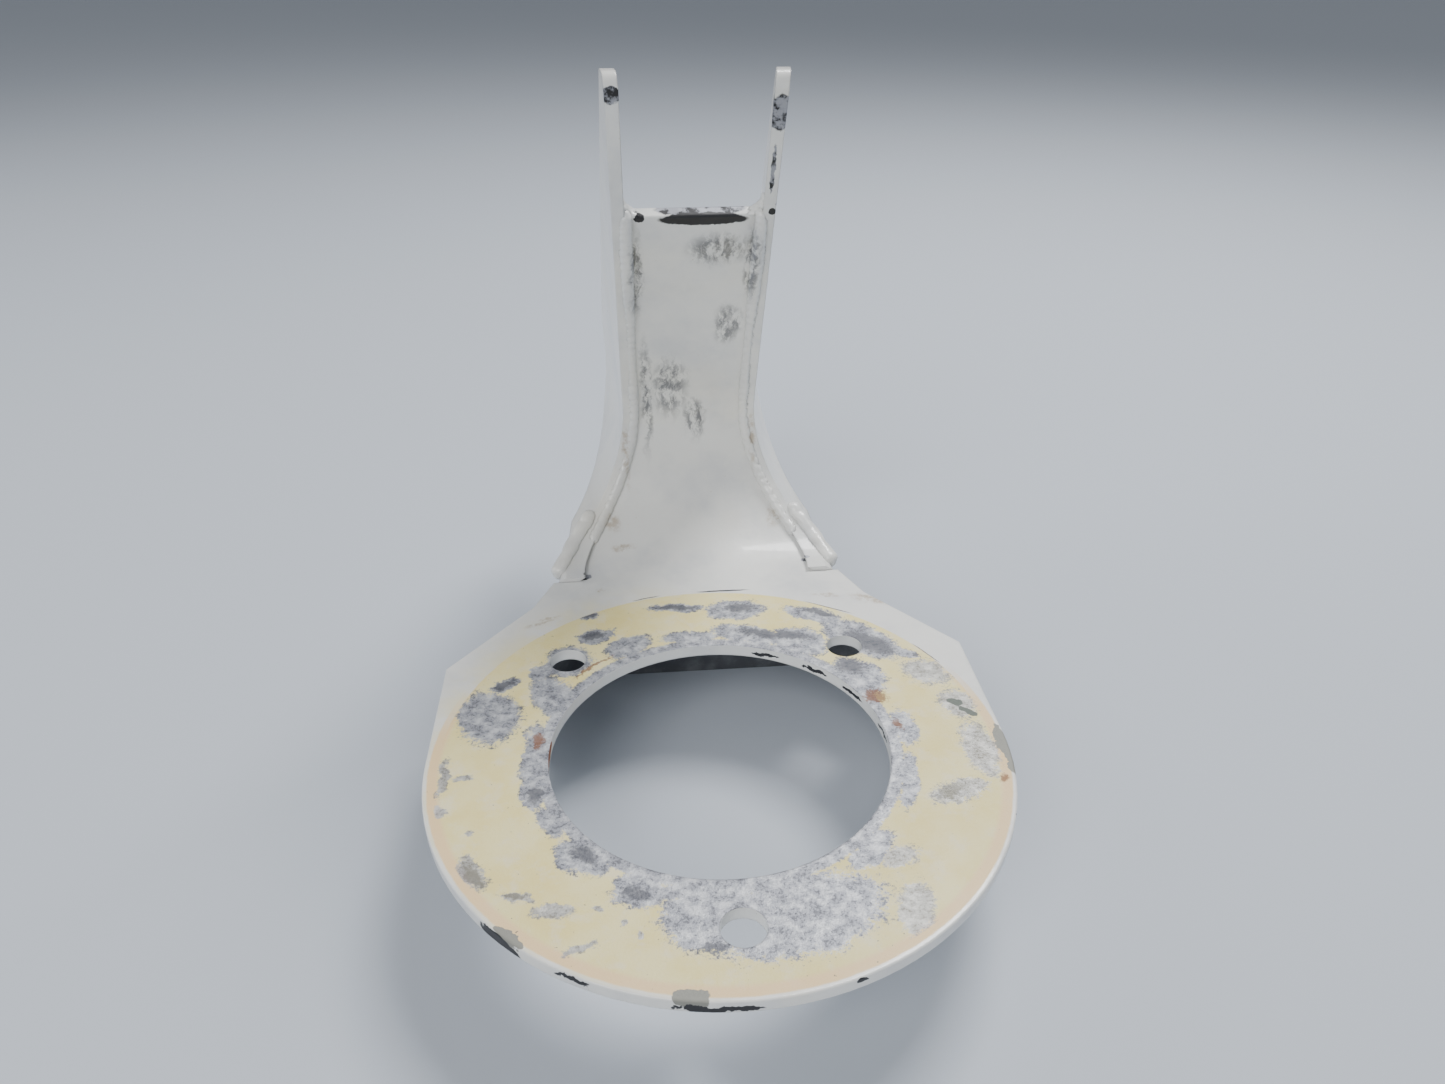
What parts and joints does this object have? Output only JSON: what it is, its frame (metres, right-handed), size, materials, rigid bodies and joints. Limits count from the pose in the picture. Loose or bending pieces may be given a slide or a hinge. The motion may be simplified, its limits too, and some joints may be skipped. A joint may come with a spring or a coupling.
{
  "type": "welded forked mounting bracket",
  "caption": "Round bolting flange with a large pilot bore, bent up at the rear into a forward-leaning channel arm that ends in a plain fork.",
  "frame": {"origin": "on the axis of the pilot bore, in the plane of the flange's mating (top) face", "axes": "+Z out of the mating face, +Y from the bore towards the arm, +X to the right"},
  "size_m": [0.1016, 0.1667, 0.1275],
  "materials": {
    "flange_finish": "worn cream primer on the mating face, gloss white on the web and edges",
    "white_paint": "gloss white paint, chipped and stained",
    "grey_primer": "matt grey-green primer, patchy"
  },
  "bodies": {
    "root": {"flange_and_web": "flange_finish", "cheek_left": "white_paint", "cheek_right": "white_paint", "skirt": "grey_primer", "weld_skirt": "grey_primer", "weld_web_left": "white_paint", "weld_web_right": "white_paint", "weld_saddle_left": "white_paint", "weld_saddle_right": "white_paint", "weld_root_left": "white_paint", "weld_root_right": "white_paint"}
  },
  "joints": []
}
